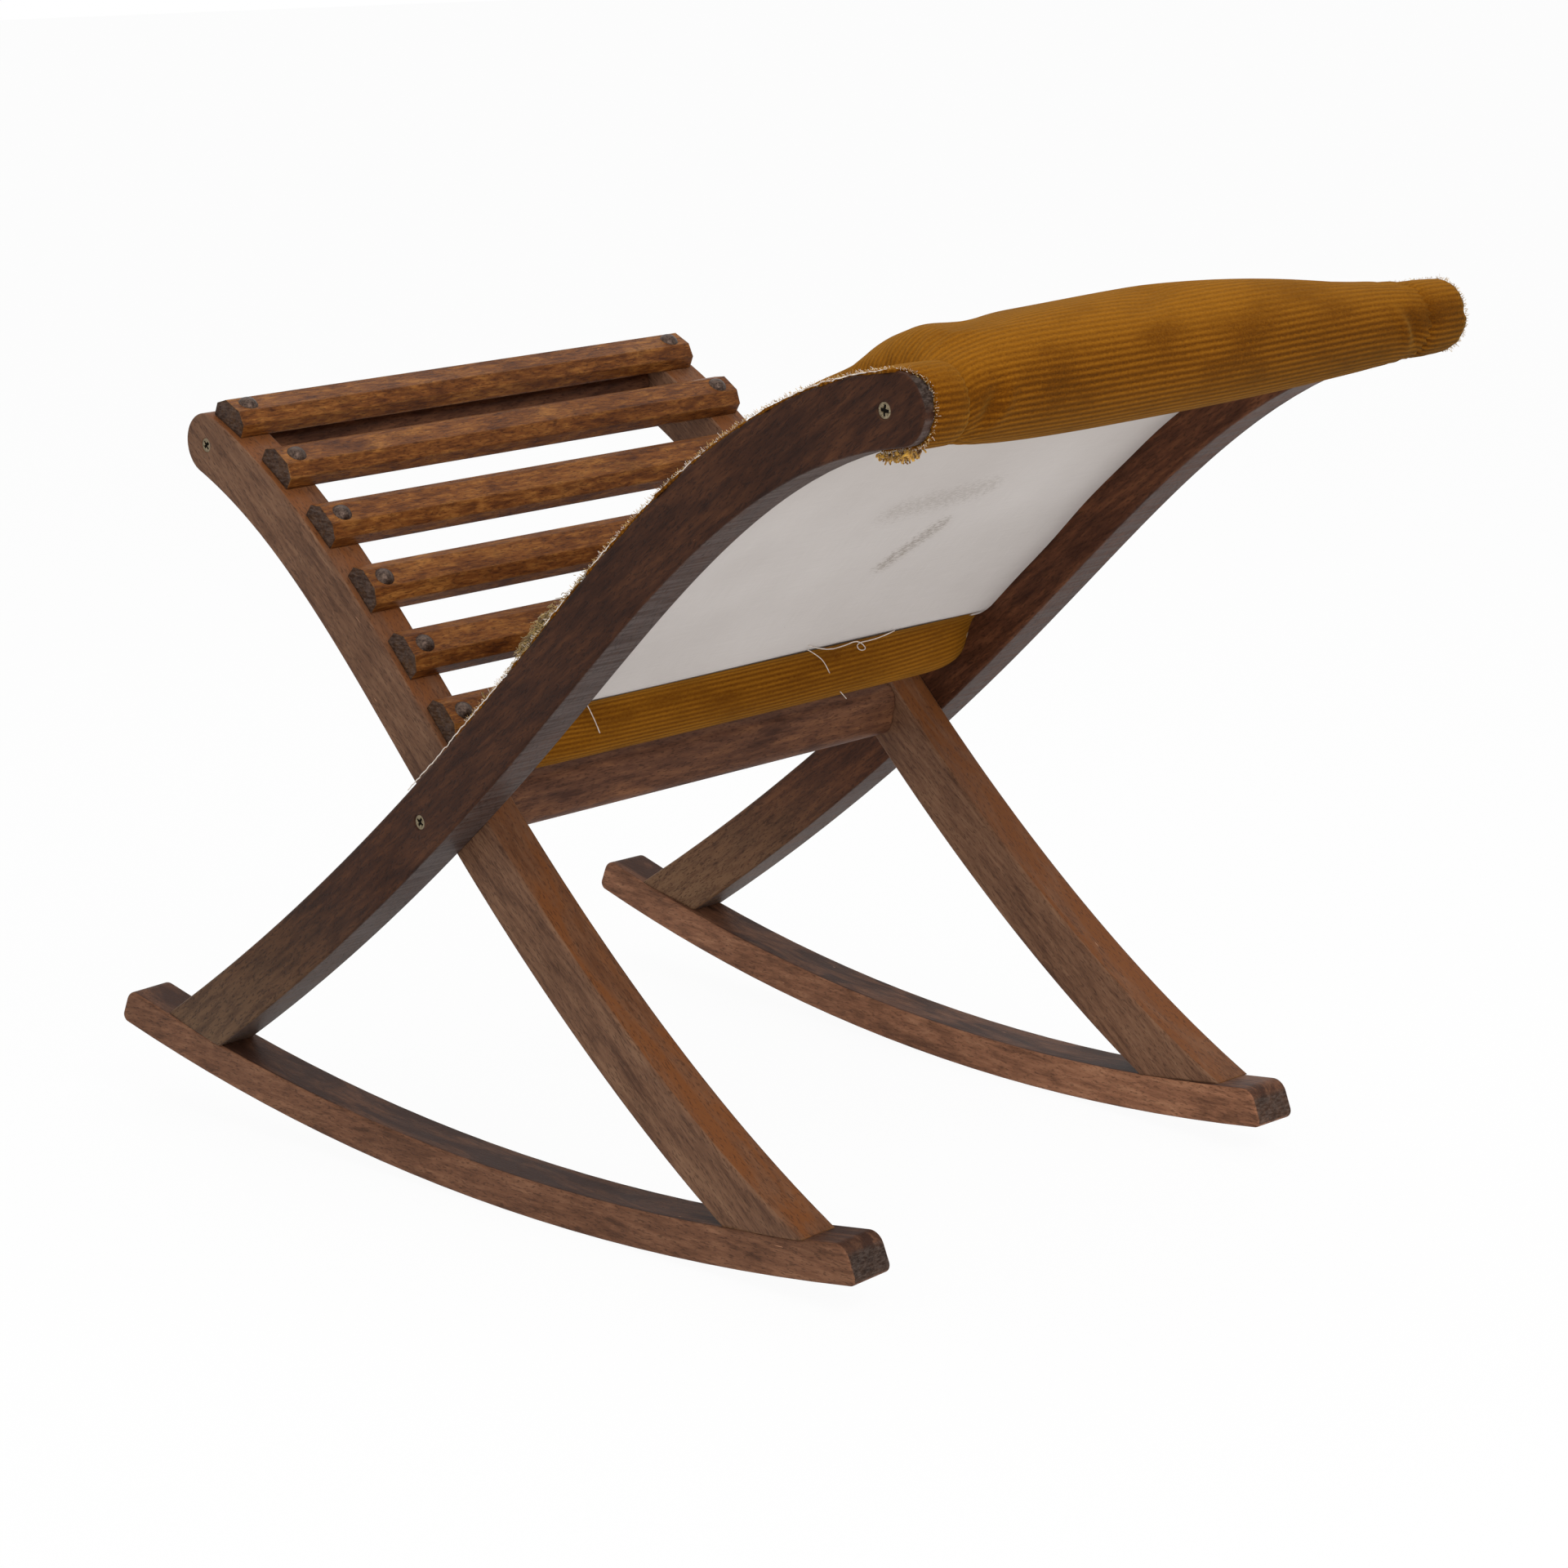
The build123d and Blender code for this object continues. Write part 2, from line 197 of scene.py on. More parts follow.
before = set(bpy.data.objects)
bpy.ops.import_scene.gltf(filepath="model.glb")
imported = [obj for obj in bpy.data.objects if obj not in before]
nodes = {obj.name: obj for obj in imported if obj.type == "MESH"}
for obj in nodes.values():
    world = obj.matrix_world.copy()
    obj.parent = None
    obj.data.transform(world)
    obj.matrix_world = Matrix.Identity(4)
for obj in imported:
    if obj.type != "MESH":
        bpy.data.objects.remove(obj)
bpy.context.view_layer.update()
scene = bpy.context.scene

roll = Matrix.Rotation(math.radians(STOOL_LEAN), 4, "Y")
to_centre = Matrix.Translation((0, 0, ROCKER_RADIUS))
REST = Matrix.Scale(METRES, 4) @ to_centre @ roll @ to_centre.inverted()


def placed(points):
    """Drawing points (x, y, z) at rest, in metres."""
    turn = np.array(REST)
    return np.asarray(points, float) @ turn[:3, :3].T + turn[:3, 3]


# ---- outlines

def running_length(line):
    """How far along the line each of its points lies."""
    steps = np.linalg.norm(np.diff(line, axis=0), axis=1)
    return np.concatenate([[0], np.cumsum(steps)])


def evenly(line, count):
    """The same line as count points at equal distances."""
    run = running_length(line)
    at = np.linspace(0, run[-1], count)
    return np.stack([np.interp(at, run, line[:, axis]) for axis in range(line.shape[1])], axis=1)


def smooth_curve(points, count):
    """A smooth line through the points, as count points at equal distances."""
    points = np.array(points, float)
    gaps = np.linalg.norm(np.diff(points, axis=0), axis=1)
    start = running_length(points)
    total = len(points)
    system = np.eye(total)
    target = np.zeros_like(points)
    for i in range(1, total - 1):
        system[i, i - 1:i + 2] = gaps[i - 1], 2 * (gaps[i - 1] + gaps[i]), gaps[i]
        slopes = np.diff(points[i - 1:i + 2], axis=0) / gaps[i - 1:i + 1, None]
        target[i] = 6 * (slopes[1] - slopes[0])
    system[0, :3] = gaps[1], -gaps[0] - gaps[1], gaps[0]
    system[-1, -3:] = gaps[-1], -gaps[-1] - gaps[-2], gaps[-2]
    bend = np.linalg.solve(system, target)
    fine = np.linspace(0, start[-1], 60 * total)
    span = np.clip(np.searchsorted(start, fine, side="right") - 1, 0, total - 2)
    width = gaps[span][:, None]
    ahead = ((start[span + 1] - fine) / gaps[span])[:, None]
    behind = 1 - ahead
    line = ahead * points[span] + behind * points[span + 1]
    curve = (ahead ** 3 - ahead) * bend[span] + (behind ** 3 - behind) * bend[span + 1]
    return evenly(line + curve * width ** 2 / 6, count)


class LegLine:
    """The middle line of a leg, measured back from its tip."""

    def __init__(self, points):
        self.line = smooth_curve(points, 600)
        self.run = running_length(self.line)

    def at(self, length):
        """The point of the line that far from the leg's foot."""
        return np.array([np.interp(length, self.run, self.line[:, i]) for i in (0, 1)])

    def place(self, back, along=0.0, out=0.0):
        """A point beside the line: along it towards the tip, and out from it."""
        length = np.clip(self.run[-1] - back, 0, self.run[-1])
        first, last = (self.at(end) for end in np.clip([length - 1.5, length + 1.5], 0, self.run[-1]))
        forward = (last - first) / np.linalg.norm(last - first)
        upward = np.array([-forward[1], forward[0]])
        if upward[1] < 0:
            upward = -upward
        return self.at(length) + forward * along + upward * out


pad_line = LegLine(PAD_LEG_LINE)
slat_line = LegLine(SLAT_LEG_LINE)


def low_rail_centre():
    return pad_line.place(LOW_RAIL_BACK, 0, LOW_RAIL_OUT)


def turned(x, y, degrees):
    """The point (x, y) turned about the origin."""
    angle = math.radians(degrees)
    return np.array([x * math.cos(angle) - y * math.sin(angle), x * math.sin(angle) + y * math.cos(angle)])


def pad_top(weight, skin, slack):
    """The velvet's upper side, from the low rail to the roll."""
    points = []
    for back in np.linspace(*PAD_TOP_BACK, PAD_TOP_POINTS):
        crown = TOP_CROWN + (LOW_CROWN - TOP_CROWN) * back / PAD_TOP_BACK[0] - slack
        points.append(pad_line.place(back, 0, HALF_DEPTH + skin + weight * crown))
    return points


def pad_roll(weight, skin, slack, beside_leg):
    """The roll round the top rail, which takes the shape of the leg's tip beside it."""
    swell = weight * (ROLL_SWELL - slack / 2)
    reach = TOP_RAIL_SECTION[0] / 2 + ROLL_PADDING + skin + swell
    above = HALF_DEPTH + skin + weight * (TOP_CROWN - slack)
    below = TOP_RAIL_SECTION[1] / 2 + ROLL_PADDING + skin + swell
    points = []
    for angle in ROLL_ANGLES:
        turn = math.radians(angle)
        height = above if angle > 0 else below
        roll_point = pad_line.place(TOP_RAIL_BACK, reach * math.cos(turn), height * math.sin(turn))
        tip_point = pad_line.place(
            0, (TIP_LENGTH + skin) * math.cos(turn), (HALF_DEPTH + skin) * math.sin(turn),
        )
        points.append(roll_point * (1 - beside_leg) + tip_point * beside_leg)
    return points


def low_wrap(padding):
    """The velvet wrapped round the low rail."""
    points = []
    for angle in WRAP_ANGLES:
        turn = math.radians(angle)
        long = LOW_RAIL_SECTION[0] / 2 + padding
        short = LOW_RAIL_SECTION[1] / 2 + padding
        around = turned(long * math.cos(turn), short * math.sin(turn), LOW_RAIL_LEAN)
        points.append(low_rail_centre() + around)
    return points


def pad_outline(share, slack, inset):
    """The pad's side view as two lines, velvet and lining.

    share runs from -1 at one leg to 1 at the other, slack flattens the crown
    and inset draws everything in."""
    weight = 1 - abs(share) ** (CROWN_NEAR_POWER if share < 0 else CROWN_FAR_POWER)
    left_over = 1 - BORDER_SINK * share ** BORDER_POWER
    skin = COVER * left_over - inset
    top = pad_top(weight, skin, slack)
    nose = pad_roll(weight, skin, slack, share ** TIP_POWER)
    under = HALF_DEPTH - LINING_DROP - COVER + inset
    lining = [pad_line.place(back, 0, under) for back in np.linspace(*LINING_BACK, LINING_POINTS)]
    wrap = low_wrap(WRAP_PADDING * left_over + skin)
    velvet = smooth_curve([lining[-1]] + wrap + top + nose + [lining[0]], VELVET_ROWS)
    return velvet, smooth_curve(lining, LINING_ROWS)


# ---- mesh helpers

def new_piece(name, vertices, faces, coordinates=None):
    """A mesh object; coordinates are two numbers for every vertex, for its finish."""
    mesh = bpy.data.meshes.new(name)
    mesh.from_pydata([tuple(v) for v in vertices], [], [tuple(f) for f in faces])
    if coordinates is not None:
        layer = mesh.uv_layers.new(name="cloth")
        corner = np.zeros(len(mesh.loops), np.int32)
        mesh.loops.foreach_get("vertex_index", corner)
        layer.data.foreach_set("uv", np.asarray(coordinates, np.float32)[corner].ravel())
    mesh.polygons.foreach_set("use_smooth", [True] * len(mesh.polygons))
    mesh.update()
    piece = bpy.data.objects.new(name, mesh)
    scene.collection.objects.link(piece)
    return piece


def quads(rows, columns, around=False):
    """Faces over a grid of rows x columns points; around joins the last row to the first."""
    faces = []
    for r in range(rows if around else rows - 1):
        for c in range(columns - 1):
            a = r * columns + c
            b = (r + 1) % rows * columns + c
            faces.append((a, b, b + 1, a + 1))
    return faces


def cloth_places(lengthwise, across):
    """Places on the unrolled cloth for a grid of points, in millimetres."""
    return np.stack(np.meshgrid(lengthwise, across, indexing="ij"), axis=2).reshape(-1, 2)


def vertex_vectors(piece, kind):
    """The co or the normal of every vertex, as rows."""
    flat = np.zeros(len(piece.data.vertices) * 3)
    piece.data.vertices.foreach_get(kind, flat)
    return flat.reshape(-1, 3)


def baked(piece):
    """Turns the piece's modifiers into its mesh."""
    shown = piece.evaluated_get(bpy.context.evaluated_depsgraph_get())
    mesh = bpy.data.meshes.new_from_object(shown)
    piece.modifiers.clear()
    piece.data = mesh


def dressed(piece, finish, slot, *replaced):
    """Gives a piece its finish and its place in the frame."""
    piece.data.materials.clear()
    piece.data.materials.append(finish.material)
    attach(piece, "root")
    if replaced:
        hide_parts(*replaced)


def threads(name, lines, radius, finish, slot):
    """Fine threads, each through a few points in metres; the radius is in millimetres."""
    curve = bpy.data.curves.new(name, "CURVE")
    curve.dimensions = "3D"
    curve.bevel_depth = radius * METRES
    curve.bevel_resolution = 0
    curve.resolution_u = 3
    for line in lines:
        spline = curve.splines.new("NURBS")
        spline.points.add(len(line) - 1)
        for point, at in zip(spline.points, line):
            point.co = (*at, 1)
        spline.order_u = 3
        spline.use_endpoint_u = True
    piece = bpy.data.objects.new(name, curve)
    scene.collection.objects.link(piece)
    dressed(piece, finish, slot)


# ---- shader helpers

class Wire:
    """A node's output. Arithmetic on it adds Math nodes."""

    def __init__(self, finish, socket):
        self.finish = finish
        self.socket = socket

    def math(self, operation, *values, clamp=False):
        settings = {"operation": operation, "use_clamp": clamp}
        return self.finish.node("Math", settings, dict(enumerate(values)))

    def __add__(self, other):
        return self.math("ADD", self, other)

    def __radd__(self, other):
        return self.math("ADD", other, self)

    def __sub__(self, other):
        return self.math("SUBTRACT", self, other)

    def __rsub__(self, other):
        return self.math("SUBTRACT", other, self)

    def __mul__(self, other):
        return self.math("MULTIPLY", self, other)

    def __truediv__(self, other):
        return self.math("DIVIDE", self, other)

    def clamped(self):
        return self.math("ADD", self, 0.0, clamp=True)

    def size(self):
        return self.math("ABSOLUTE", self)

    def step(self, low, high):
        """0 below low, 1 above high and smooth between; low above high turns it round."""
        sockets = {"Value": self, "From Min": low, "From Max": high}
        return self.finish.node("MapRange", {"interpolation_type": "SMOOTHSTEP"}, sockets)


class Finish:
    """A material: constants go straight to the shader's sockets."""

    def __init__(self, name, **constants):
        self.material = bpy.data.materials.new(name)
        self.material.use_nodes = True
        self.tree = self.material.node_tree
        self.shader = self.tree.nodes["Principled BSDF"]
        for socket, value in constants.items():
            self.shader.inputs[socket.replace("_", " ")].default_value = value

    def node(self, kind, settings, sockets, output=0):
        made = self.tree.nodes.new("ShaderNode" + kind)
        for name, value in settings.items():
            setattr(made, name, value)
        for key, value in sockets.items():
            if isinstance(value, Wire):
                self.tree.links.new(value.socket, made.inputs[key])
            else:
                made.inputs[key].default_value = value
        return Wire(self, made.outputs[output])

    def feed(self, **sockets):
        for name, wire in sockets.items():
            self.tree.links.new(wire.socket, self.shader.inputs[name.replace("_", " ")])
        return self

    def place(self):
        """Position on the piece, in metres."""
        return self.node("TexCoord", {}, {}, "Object")

    def surface(self):
        """The vertices' two coordinates: on cloth, millimetres along its length and across."""
        return self.node("UVMap", {"uv_map": "cloth"}, {})

    def normal(self):
        return self.node("NewGeometry", {}, {}, "Normal")

    def vector(self, operation, *values, output=0):
        return self.node("VectorMath", {"operation": operation}, dict(enumerate(values)), output)

    def dot(self, a, b):
        return self.vector("DOT_PRODUCT", a, b, output="Value")

    def scaled(self, vector, factors):
        """The vector with each of its three parts times its own factor."""
        return self.vector("MULTIPLY", vector, factors)

    def times(self, vector, factor):
        """The vector times one factor, which may be a wire."""
        return self.node("VectorMath", {"operation": "SCALE"}, {0: vector, "Scale": factor})

    def split(self, vector, axis):
        return self.node("SeparateXYZ", {}, {"Vector": vector}, axis)

    def noise(self, vector, scale, detail=3.0, roughness=0.55, distortion=0.0):
        """Noise over the vector; a scale of three numbers stretches it."""
        if isinstance(scale, tuple):
            vector, scale = self.scaled(vector, scale), 1.0
        sockets = {
            "Vector": vector, "Scale": scale, "Detail": detail,
            "Roughness": roughness, "Distortion": distortion,
        }
        return self.node("TexNoise", {}, sockets, "Fac")

    def ramp(self, value, stops):
        """Colours between stops, each a position and a colour."""
        made = self.node("ValToRGB", {}, {"Fac": value})
        elements = made.socket.node.color_ramp.elements
        while len(elements) < len(stops):
            elements.new(0.5)
        for element, (position, colour) in zip(elements, stops):
            element.position = position
            element.color = (*colour, 1)
        return made

    def mix(self, factor, a, b):
        """Two colours mixed; plain triples are taken as colours."""
        a, b = ((*c, 1) if isinstance(c, tuple) else c for c in (a, b))
        return self.node("Mix", {"data_type": "RGBA"}, {0: factor, 6: a, 7: b}, 2)

    def bump(self, height, distance, strength, normal=None):
        sockets = {"Height": height, "Distance": distance, "Strength": strength}
        if normal is not None:
            sockets["Normal"] = normal
        return self.node("Bump", {}, sockets)


# ---- finishes

def tinted(colour, factor):
    """A colour made darker, or lighter when factor is above 1."""
    return tuple(c * factor for c in colour)


class Wood(Finish):
    """A finish whose grain runs along the vector grain."""

    def __init__(self, name, grain):
        super().__init__(name, Specular_IOR_Level=0.08, Coat_Roughness=0.2)
        self.grain = grain
        self.spot = self.place()
        self.along = self.dot(self.spot, grain)
        self.facing = self.normal()
        self.rounded = self.node("Bevel", {"samples": 4}, {"Radius": 0.0016})

    def figure(self, across, lengthwise, *settings):
        """Noise that changes at one rate across the grain and at another along it."""
        pull = self.times(self.grain, self.along * (lengthwise - across))
        drawn = self.vector("ADD", self.scaled(self.spot, (across,) * 3), pull)
        return self.noise(drawn, 1.0, *settings)

    def narrow_faces(self, colour, broad, streak, top, under, foot):
        """Colours the narrow faces that look up and down with painted light and sheen, and the leg near
        its foot.
        """
        narrow = self.split(self.facing, "Y").size().step(0.6, 0.2)
        up = self.split(self.facing, "Z")
        # painted light: faces that look up take the top colour, lit gold on the slat legs and painted
        # shade on the rockers
        if top:
            patchy = broad.step(0.38, 0.58) * 0.6 + 0.35
            colour = self.mix(narrow * up.step(0.05, 0.4) * patchy, colour, top)
        if foot:
            low = self.split(self.spot, "Z").step(0.16, 0.02)
            colour = self.mix(low * (streak.step(0.35, 0.6) * 0.5 + 0.45), colour, foot)
        # painted reflection: faces that look down take a grey sheen, broken by real scratches
        if under:
            scratch = self.noise(self.spot, (520.0, 24.0, 520.0), 3.0, 0.6)
            scratched = scratch.step(0.35, 0.65) * 0.6 + 0.3
            colour = self.mix(narrow * up.step(-0.05, -0.4) * scratched, colour, under)
        return colour


def wood(name, grain, shades, edge, figure=(60.0, 12.0), flame=0.3, gloss=0.46, coat=0.03,
         wear=0.5, top=None, under=None, foot=None):
    """Stained wood.

    shades are the stain's dark, middle and light parts, and edge is the colour
    where corners are rubbed; on the gold pieces it is also a painted highlight on
    the bevels. figure says how fast the grain changes across and along. top,
    under and foot colour the narrow faces that look up and down, and the
    piece's lowest part; top is painted light, lit gold on the slat legs and
    shaded on the rockers, and under is a painted grey sheen."""
    dark, middle, light = shades
    wide, long = figure
    finish = Wood(name, grain)
    broad = finish.figure(wide, long, 5.0, 0.62, 0.9)
    streak = finish.figure(wide * 6, long * 4, 4.0, 0.65, 0.3)
    patch = finish.figure(wide * 0.8, long * 1.8, 4.0, 0.65, 1.4)
    fleck = finish.figure(1300.0, 300.0, 1.0).step(0.54, 0.68)
    nick = finish.figure(420.0, 60.0, 2.0).step(0.775, 0.80)
    cloud = finish.noise(finish.spot, 13.0, 4.0, 0.6)
    rub = finish.noise(finish.spot, 42.0, 5.0, 0.65)
    rings = finish.noise(finish.spot, (300.0, 300.0, 900.0), 3.0, 0.7)
    corner = (1.0 - finish.dot(finish.rounded, finish.facing)).step(0.01, 0.16)
    end = finish.dot(finish.facing, grain).size().step(0.75, 0.97)

    colour = finish.ramp(broad * 0.45 + streak * 0.55, [(0.36, dark), (0.50, middle), (0.64, light)])
    colour = finish.mix(patch.step(0.47, 0.66) * flame, colour, dark)
    colour = finish.mix(cloud.step(0.50, 0.75) * 0.3, colour, dark)
    colour = finish.narrow_faces(colour, broad, streak, top, under, foot)
    colour = finish.mix(fleck * 0.5, colour, tinted(dark, 0.5))
    # painted highlight and rubbing: the corners take the edge colour, which on the gold pieces stands in
    # for the bevels' highlights
    colour = finish.mix(corner * rub.step(0.42, 0.64) * wear, colour, edge)
    colour = finish.mix(corner * rub.step(0.46, 0.34) * 0.5, colour, tinted(dark, 0.4))
    grey = finish.ramp(rings, [(0.40, (0.016, 0.012, 0.010)), (0.66, (0.085, 0.066, 0.056))])
    colour = finish.mix(end * 0.8, colour, grey)
    colour = finish.mix(nick * 0.5, colour, tuple(min(1.0, c) for c in tinted(light, 2.6)))

    rough = gloss + streak * 0.14 + end * 0.2 + cloud.step(0.4, 0.7) * 0.08 - corner * 0.06
    height = streak * 0.5 + broad * 0.3 - fleck * 0.5 - nick * 0.4 + rings * end * 0.8
    return finish.feed(
        Base_Color=colour,
        Roughness=rough.clamped(),
        Coat_Weight=(coat - end * coat * 0.8 - rub.step(0.5, 0.8) * coat * 0.4).clamped(),
        Normal=finish.bump(height, 0.0003, 0.6, finish.rounded),
    )


def speckled(name, noise, stops, rough, relief=None, **constants):
    """One noise sets the colour, the roughness and the relief.

    noise is its scale, detail and roughness, rough the least roughness and what
    the noise adds, and relief its height in metres and its strength."""
    finish = Finish(name, **constants)
    value = finish.noise(finish.place(), *noise)
    least, added = rough
    finish.feed(Base_Color=finish.ramp(value, stops), Roughness=(least + value * added).clamped())
    if relief:
        finish.feed(Normal=finish.bump(value, *relief))
    return finish


def brass():
    """Old brassed screws, with painted shade in the cross."""
    finish = Finish("old_brass", Metallic=0.9)
    tarnish = finish.noise(finish.place(), 1400.0, 3.0)
    colour = finish.ramp(tarnish, [(0.3, (0.10, 0.075, 0.04)), (0.7, (0.32, 0.26, 0.17))])
    # painted shade: the pressed cross is darkened nearly to black and made rougher, standing in for the
    # shade in the recess
    painted_recess_shade = finish.split(finish.surface(), "X").step(0.15, 0.8)
    return finish.feed(
        Base_Color=finish.mix(painted_recess_shade, colour, (0.010, 0.008, 0.006)),
        Roughness=(0.3 + tarnish * 0.3 + painted_recess_shade * 0.3).clamped(),
        Normal=finish.bump(tarnish, 0.0001, 0.5),
    )


def velvet():
    """Ribbed velvet with ribs across the pad, paler on top from rubbing and painted light, and with
    painted light on the low rail.
    """
    finish = Finish("ochre_velvet", Sheen_Weight=0.14, Sheen_Roughness=0.5, Specular_IOR_Level=0.04)
    finish.shader.inputs["Sheen Tint"].default_value = (1.0, 0.60, 0.12, 1)
    cloth = finish.surface()
    place = finish.place()
    wander = finish.noise(place, (26.0, 8.0, 26.0), 3.0)
    nap = finish.noise(cloth, (1.3, 0.45, 0.0), 3.0, 0.7)
    turns = (finish.split(cloth, "X") / RIB_PITCH + wander * 0.8 + nap * 0.3) * (2 * math.pi)
    rib = turns.math("SINE", turns) * 0.5 + 0.5
    tuft = finish.noise(place, 1200.0, 2.0, 0.7)
    brushed = finish.noise(place, (19.0, 8.0, 19.0), 4.0, 0.6)
    patch = finish.noise(place, (60.0, 22.0, 60.0), 3.0, 0.6)
    up = finish.split(finish.normal(), "Z")
    # partly rubbing (the brushed noise) and partly painted light: faces that look up are made paler and
    # their ribs flatter
    worn_and_top_lit = (up.step(0.0, 0.9) * 0.7 + brushed * 0.5 - 0.2).clamped()
    ribbed = rib * (0.20 - worn_and_top_lit * 0.13) * patch.step(0.25, 0.6)
    # painted light: the velvet low down, on the low rail, is made lighter
    low = finish.split(place, "Z").step(0.30, 0.24)
    shade = ribbed + nap * 0.24 + tuft * 0.24 + brushed * 0.16 + worn_and_top_lit * 0.26 + low * 0.11 - 0.03
    stops = [
        (0.20, (0.030, 0.008, 0.0006)),
        (0.40, (0.118, 0.036, 0.0012)),
        (0.62, (0.260, 0.096, 0.0055)),
        (0.92, (0.450, 0.200, 0.022)),
    ]
    return finish.feed(
        Base_Color=finish.ramp(shade, stops),
        Roughness=(0.8 + nap * 0.15).clamped(),
        Normal=finish.bump(rib * 0.35 + nap * 0.4 + tuft * 0.45, 0.0006, 0.8),
    )


def stained(finish, cloth, dry, colour, start, end, width, strength):
    """A brushed stain between two places on the cloth."""
    middle = finish.vector("SUBTRACT", cloth, (*start, 0.0))
    run = np.array(end) - np.array(start)
    share = finish.dot(middle, (*run / np.dot(run, run), 0.0)).clamped()
    nearest = finish.times((*run, 0.0), share)
    apart = finish.vector("DISTANCE", middle, nearest, output="Value")
    stain = (apart + (dry - 0.5) * width * 4.0).step(width * 1.3, 0.0)
    return finish.mix(stain * dry.step(0.62, 0.42) * strength, colour, (0.29, 0.24, 0.20))


def cotton():
    """Off-white lining with a plain weave, painted shade towards the roll, brushed stains and specks."""
    finish = Finish("cotton_lining", Sheen_Weight=0.1, Specular_IOR_Level=0.2)
    cloth = finish.surface()
    along = finish.noise(cloth, (2.2, 0.05, 0.0), 2.0)
    across = finish.noise(cloth, (0.05, 2.2, 0.0), 2.0)
    weave = along * 0.5 + across * 0.5
    grey = finish.noise(finish.place(), 9.0, 2.0)
    shades = [(0.3, (0.54, 0.495, 0.465)), (0.7, (0.70, 0.655, 0.625))]
    colour = finish.ramp(weave * 0.5 + grey * 0.5, shades)
    # painted shade: darker towards the roll, standing in for the less lit upper part of the lining
    painted_shade_near_roll = finish.split(cloth, "X").step(230.0, 90.0)
    colour = finish.mix(painted_shade_near_roll * 0.5, colour, (0.49, 0.435, 0.395))
    dry = finish.noise(cloth, (1.1, 0.25, 0.0), 5.0, 0.75)
    for stain in LINING_STAINS:
        colour = stained(finish, cloth, dry, colour, *stain)
    speck = finish.noise(cloth, (0.45, 0.45, 0.0), 1.0)
    return finish.feed(
        Base_Color=finish.mix(speck.step(0.81, 0.84) * 0.6, colour, (0.12, 0.09, 0.07)),
        Roughness=(0.85 + weave * 0.1).clamped(),
        Normal=finish.bump(weave, 0.0003, 0.5),
    )


def thread(name, dark, light):
    """Thread whose tint wanders between two colours."""
    return speckled(name, (240.0, 2.0), [(0.35, dark), (0.65, light)], (0.7, 0.2), Sheen_Weight=0.3)


def side_woods(name, grain, shades, right_painted_light, foot=None, **settings):
    """The same stain on a left and a right piece; the right copy is lightened, painted light on the far
    pieces.
    """
    finishes = {}
    for hand, light in (("left", 1.0), ("right", right_painted_light)):
        # painted light: the right pieces' colours are made lighter by the factor
        tints = [tinted(shade, light) for shade in shades]
        pale = foot and tinted(foot, light ** 0.6)
        finishes[hand] = wood(f"{name}_{hand}", grain, tints, foot=pale, **settings)
    return finishes


def direction(points):
    """The way a leg's board was cut: straight from its foot to its tip."""
    (x0, z0), (x1, z1) = points[0], points[-1]
    way = roll.to_3x3() @ Vector((x1 - x0, 0, z1 - z0)).normalized()
    return tuple(way)


ACROSS = (0.0, 1.0, 0.0)
LENGTHWISE = (1.0, 0.0, 0.0)
RUBBED = (0.24, 0.12, 0.05)
# rubbed gold corners, partly real rubbing and partly a painted highlight
WORN_GOLD_AND_HIGHLIGHT = (0.40, 0.19, 0.06)
# a painted grey sheen for the pad legs' undersides
GREY_SHEEN = (0.095, 0.070, 0.062)

PAD_LEG_WOOD = side_woods(
    "pad_leg_stain", direction(PAD_LEG_LINE),
    ((0.019, 0.0065, 0.0035), (0.043, 0.0155, 0.0075), (0.080, 0.030, 0.0130)), 2.0,
    edge=RUBBED, wear=0.3, flame=0.25, under=GREY_SHEEN, foot=(0.150, 0.084, 0.044),
)
# its top colour is painted light on the upper narrow faces
SLAT_LEG_WOOD = side_woods(
    "slat_leg_stain", direction(SLAT_LEG_LINE),
    ((0.075, 0.034, 0.019), (0.155, 0.077, 0.043), (0.215, 0.115, 0.065)), 1.15,
    edge=WORN_GOLD_AND_HIGHLIGHT, wear=0.4, flame=0.25, top=(0.165, 0.056, 0.017),
)
# its top colour is painted shade on the upper narrow faces
ROCKER_WOOD = side_woods(
    "rocker_stain", LENGTHWISE,
    ((0.074, 0.032, 0.017), (0.170, 0.075, 0.040), (0.255, 0.123, 0.067)), 1.6,
    edge=RUBBED, wear=0.3, flame=0.3, top=(0.034, 0.014, 0.009),
)
RAIL_WOOD = wood(
    "rail_stain", ACROSS,
    ((0.056, 0.023, 0.014), (0.134, 0.058, 0.032), (0.230, 0.100, 0.048)),
    edge=RUBBED, wear=0.2, flame=0.3,
)
SLAT_WOOD = wood(
    "slat_stain", ACROSS,
    ((0.055, 0.015, 0.004), (0.165, 0.055, 0.012), (0.300, 0.122, 0.028)),
    edge=WORN_GOLD_AND_HIGHLIGHT, figure=(95.0, 22.0), flame=0.5, gloss=0.36, wear=0.6,
)
PLAIN_WOOD = wood(
    "plain_beech", ACROSS,
    ((0.32, 0.20, 0.11), (0.45, 0.30, 0.18), (0.56, 0.40, 0.25)),
    edge=(0.6, 0.45, 0.3), coat=0.0, gloss=0.6,
)
BRONZE = speckled(
    "dark_bronze", (900.0, 3.0), [(0.35, (0.030, 0.018, 0.014)), (0.7, (0.105, 0.070, 0.052))],
    (0.34, 0.2), (0.00012, 0.5), Metallic=0.85,
)
BRASS = brass()
VELVET = velvet()
COTTON = cotton()
